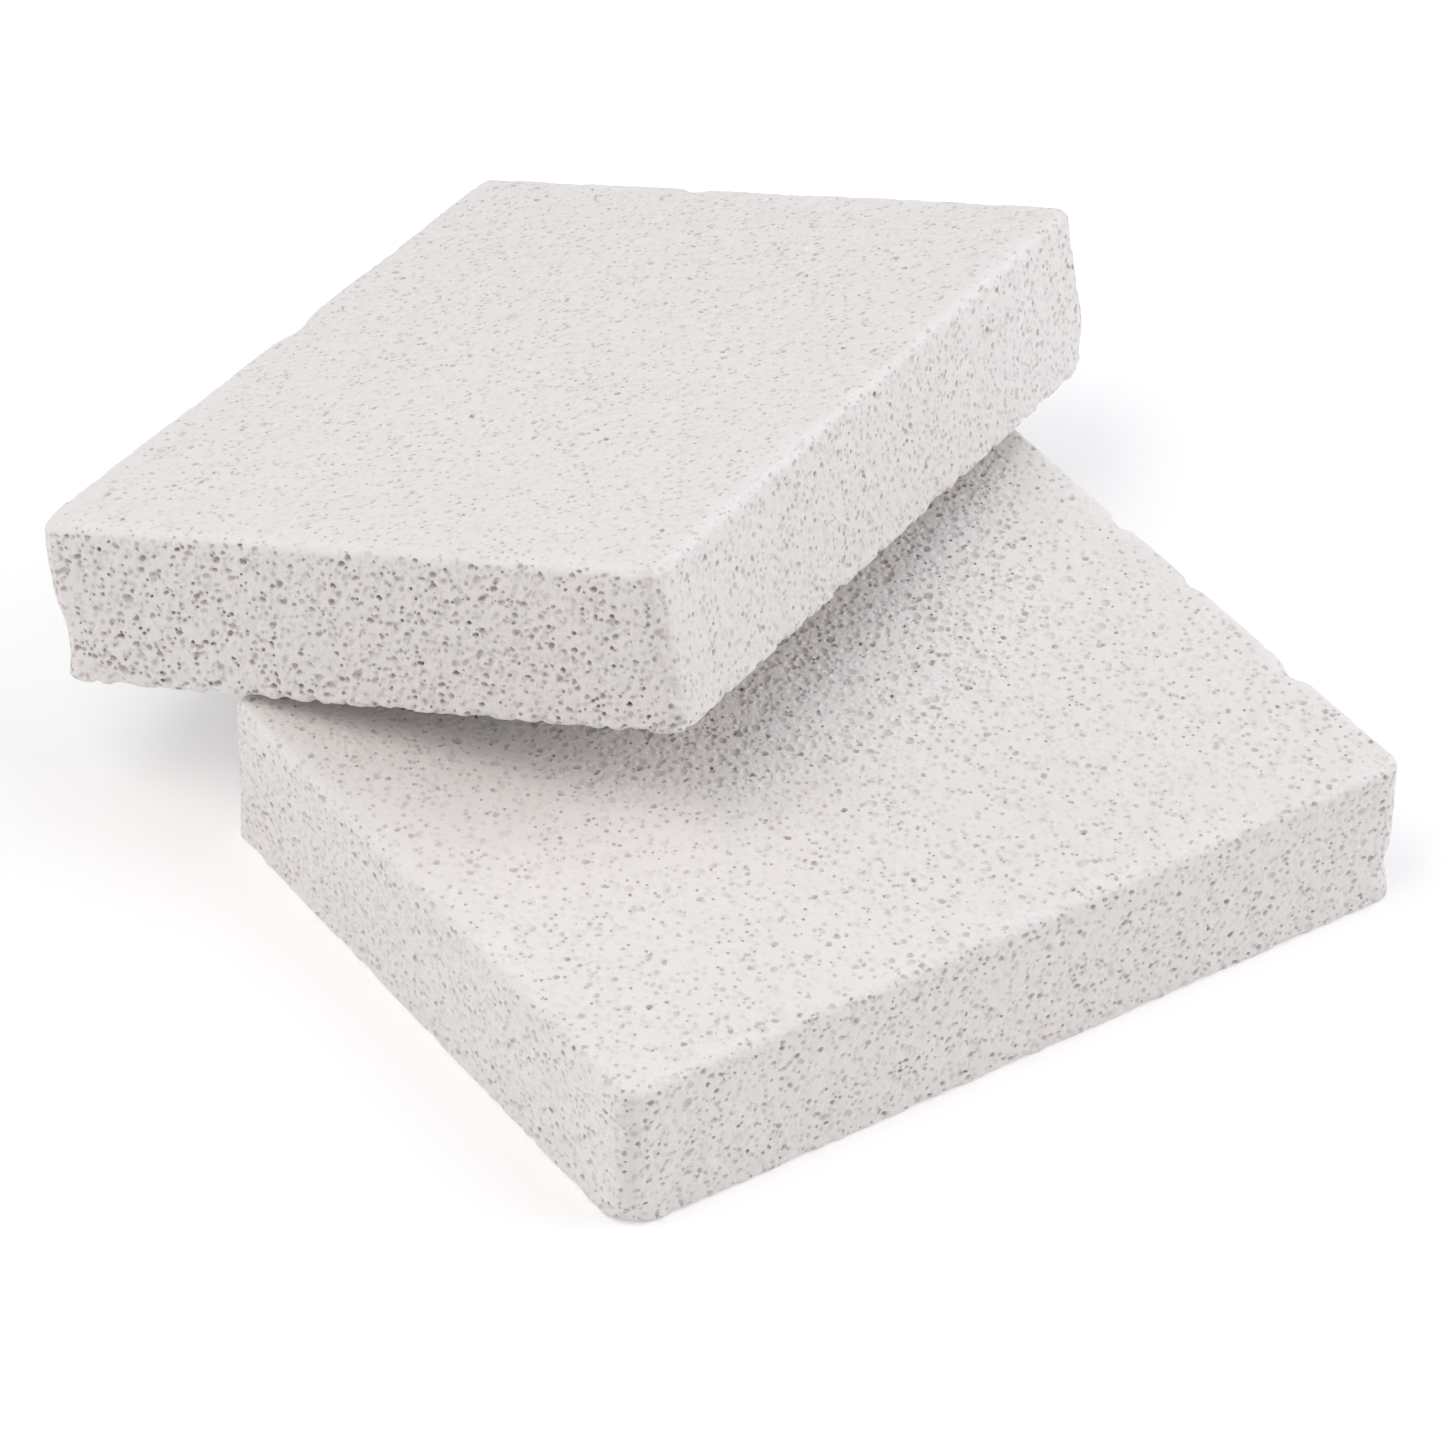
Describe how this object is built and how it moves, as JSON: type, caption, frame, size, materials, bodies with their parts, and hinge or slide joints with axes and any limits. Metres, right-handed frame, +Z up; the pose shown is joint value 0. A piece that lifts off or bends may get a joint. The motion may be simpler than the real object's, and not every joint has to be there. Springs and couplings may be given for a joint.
{
  "type": "gymnastics chalk block",
  "caption": "Loose flat slabs of porous white gymnastics chalk, one lying flat and another leaning over its back edge.",
  "frame": {"origin": "middle of the lower block's underside, on the surface that both blocks stand on", "axes": "+Z up, X along the lower block's long side, +Y towards the edge that the upper block leans over"},
  "size_m": [0.111, 0.1315, 0.0461],
  "materials": {
    "chalk": "matte"
  },
  "bodies": {
    "lower_block": {"lower_block": "chalk"},
    "upper_block": {"upper_block": "chalk"}
  },
  "joints": [
    {"name": "upper_block_lift", "type": "slide", "parent": "lower_block", "child": "upper_block", "axis": [0, 0, 1], "range_m": [0, 0.05]}
  ]
}
